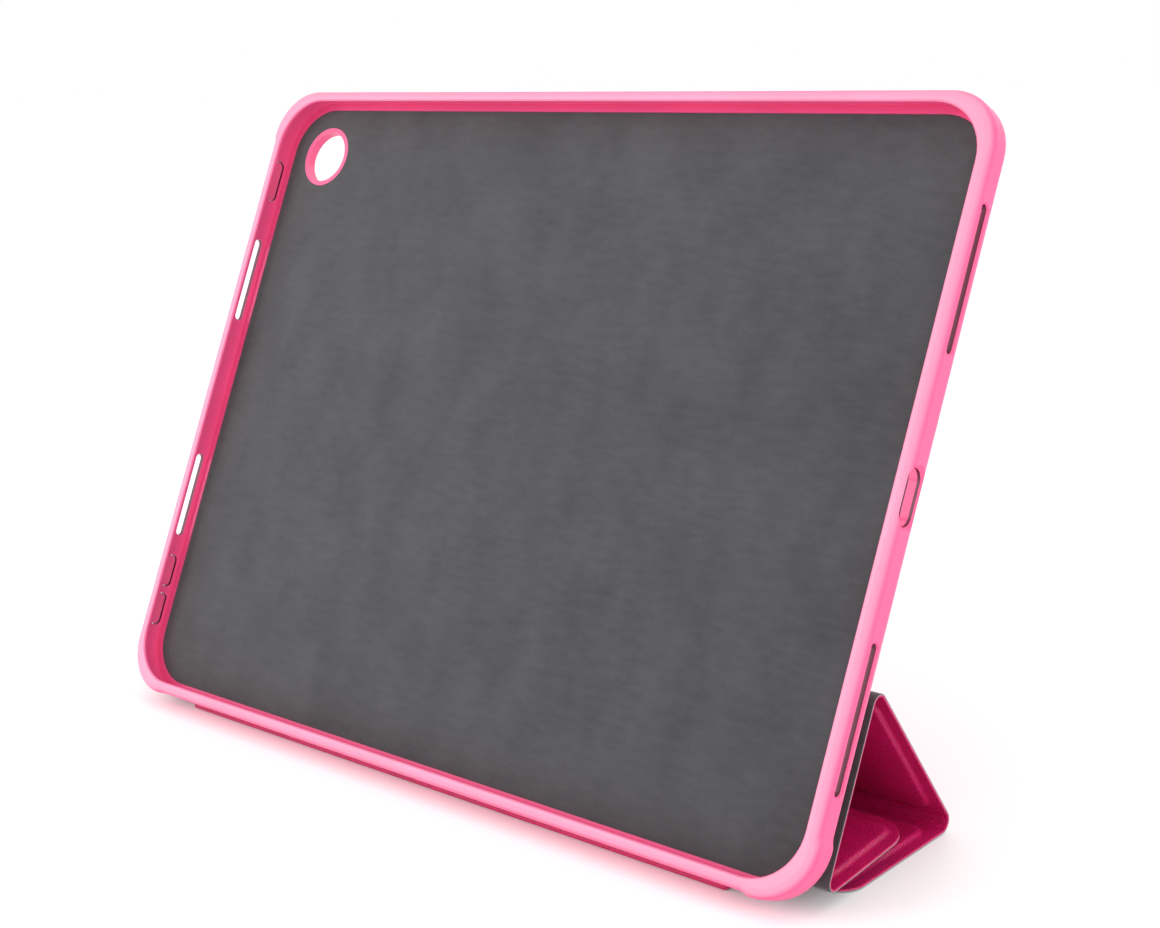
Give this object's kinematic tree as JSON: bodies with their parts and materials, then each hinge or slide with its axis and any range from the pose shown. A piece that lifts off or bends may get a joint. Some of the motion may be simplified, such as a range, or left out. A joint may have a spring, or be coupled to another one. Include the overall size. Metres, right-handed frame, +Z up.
{
  "type": "tablet case",
  "caption": "Folding stand case for a thirteen-inch tablet: soft moulded bumper tray with a panelled leather-look cover folded behind it into a triangular prop.",
  "frame": {"origin": "middle of the bounding box on the table plane, in the stand position", "axes": "+X along the long edge, to the right seen from the screen side; +Y backwards, away from the viewer; +Z up"},
  "size_m": [0.2866, 0.1006, 0.2037],
  "materials": {
    "soft_plastic": "matt moulded bumper with a fine sheen",
    "ring_plastic": "moulded, matt",
    "key_plastic": "moulded, matt",
    "leather": "fine-grained synthetic leather, satin",
    "lining": "short-napped microfibre",
    "board": "stiffener board, uncoated",
    "magnet": "nickel-plated"
  },
  "bodies": {
    "tray": {"bumper_frame": "soft_plastic", "back_lining": "lining", "back_board": "board", "back_magnets": "magnet", "back_skin": "leather", "camera_ring": "ring_plastic"},
    "power_key": {"power_button": "key_plastic"},
    "volume_up_key": {"volume_up_button": "key_plastic"},
    "volume_down_key": {"volume_down_button": "key_plastic"},
    "spine": {"back_fold": "leather", "spine_lining": "lining", "spine_skin": "leather"},
    "base_panel": {"base_fold": "leather", "base_panel_lining": "lining", "base_panel_board": "board", "base_panel_magnets": "magnet", "base_panel_skin": "leather"},
    "prop_panel": {"rear_fold": "leather", "prop_panel_lining": "lining", "prop_panel_board": "board", "prop_panel_skin": "leather"},
    "rest_panel": {"top_fold": "leather", "rest_panel_lining": "lining", "rest_panel_board": "board", "rest_panel_skin": "leather"},
    "flap_panel": {"front_fold": "leather", "flap_panel_lining": "lining", "flap_panel_board": "board", "flap_panel_magnets": "magnet", "flap_panel_skin": "leather"}
  },
  "joints": [
    {"name": "spine_hinge", "type": "hinge", "parent": "tray", "child": "spine", "pos_m": [0, -0.04226, 0.0009], "axis": [-1, 0, 0], "range_deg": [0, 205.15], "deforming": ["back_fold"]},
    {"name": "base_hinge", "type": "hinge", "parent": "spine", "child": "base_panel", "pos_m": [0, -0.02946, 0.0009], "axis": [-1, 0, 0], "range_deg": [0, 90.01], "deforming": ["base_fold"]},
    {"name": "rear_fold_hinge", "type": "hinge", "parent": "base_panel", "child": "prop_panel", "pos_m": [0, 0.02674, 0.00185], "axis": [-1, 0, 0], "range_deg": [0, 127.77], "deforming": ["rear_fold"]},
    {"name": "top_fold_hinge", "type": "hinge", "parent": "prop_panel", "child": "rest_panel", "pos_m": [0, -0.01286, 0.0533], "axis": [-1, 0, 0], "range_deg": [0, 117.6], "deforming": ["top_fold"]},
    {"name": "front_fold_hinge", "type": "hinge", "parent": "rest_panel", "child": "flap_panel", "pos_m": [0, -0.03516, 0.0053], "axis": [-1, 0, 0], "range_deg": [0, 119.16], "deforming": ["front_fold"]},
    {"name": "power_button_press", "type": "slide", "parent": "tray", "child": "power_key", "axis": [1, 0, 0], "range_m": [0, 0.0004], "stiffness_N_per_m": 400, "springref_m": -0.0005},
    {"name": "volume_up_button_press", "type": "slide", "parent": "tray", "child": "volume_up_key", "axis": [1, 0, 0], "range_m": [0, 0.0004], "stiffness_N_per_m": 400, "springref_m": -0.0005},
    {"name": "volume_down_button_press", "type": "slide", "parent": "tray", "child": "volume_down_key", "axis": [1, 0, 0], "range_m": [0, 0.0004], "stiffness_N_per_m": 400, "springref_m": -0.0005}
  ],
  "couplings": [
    {"joint": "base_hinge", "follows": "spine_hinge", "ratio": 0.4387},
    {"joint": "rear_fold_hinge", "follows": "spine_hinge", "ratio": 0.62277},
    {"joint": "top_fold_hinge", "follows": "spine_hinge", "ratio": 0.57319},
    {"joint": "front_fold_hinge", "follows": "spine_hinge", "ratio": 0.58079}
  ]
}
